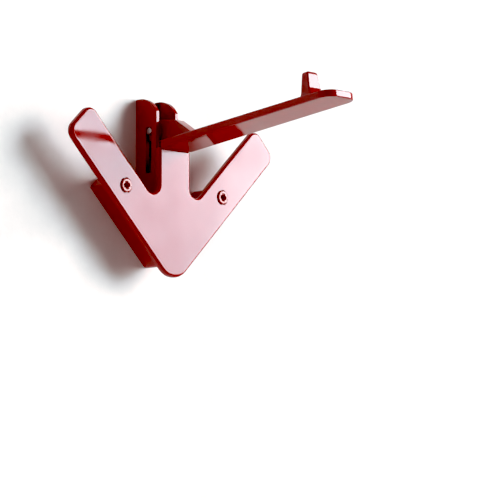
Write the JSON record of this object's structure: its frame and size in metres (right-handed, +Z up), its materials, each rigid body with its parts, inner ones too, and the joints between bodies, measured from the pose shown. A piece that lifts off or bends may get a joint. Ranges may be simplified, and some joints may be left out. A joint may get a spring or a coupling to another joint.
{
  "type": "fold-away coat hook",
  "caption": "Arrow-shaped wall coat hook in gloss red plastic: a bar with an end stop swings out on a steel pin in a slotted yoke to hold clothes hangers, and folds up flat when not in use.",
  "frame": {"origin": "on the wall face, on the plane of symmetry, level with the two front-plate screws", "axes": "+Y into the wall, out of the back face; +Z up; +X to the right as seen from the room"},
  "size_m": [0.2072, 0.2002, 0.1376],
  "materials": {
    "red_plastic": "moulded, polished to a high gloss",
    "red_lacquer": "gloss red lacquer on steel",
    "pin_steel": "ground, bright",
    "insert_brass": "turned"
  },
  "bodies": {
    "wall_unit": {"front_plate": "red_plastic", "wall_base": "red_plastic", "hinge_bracket": "red_plastic", "plate_screw_left": "red_lacquer", "plate_screw_right": "red_lacquer", "thread_insert_left": "insert_brass", "thread_insert_right": "insert_brass"},
    "pin_carrier": {"hinge_pin": "pin_steel"},
    "swing_arm": {"arm": "red_plastic"}
  },
  "joints": [
    {"name": "pin_drop", "type": "slide", "parent": "wall_unit", "child": "pin_carrier", "axis": [0, 0, 1], "range_m": [-0.0289, 0]},
    {"name": "arm_swing", "type": "hinge", "parent": "pin_carrier", "child": "swing_arm", "pos_m": [0, -0.0139, 0.0461], "axis": [-1, 0, 0], "range_deg": [0, 83.2]}
  ],
  "couplings": [
    {"joint": "pin_drop", "follows": "arm_swing", "m_per_rad": -0.019764}
  ]
}
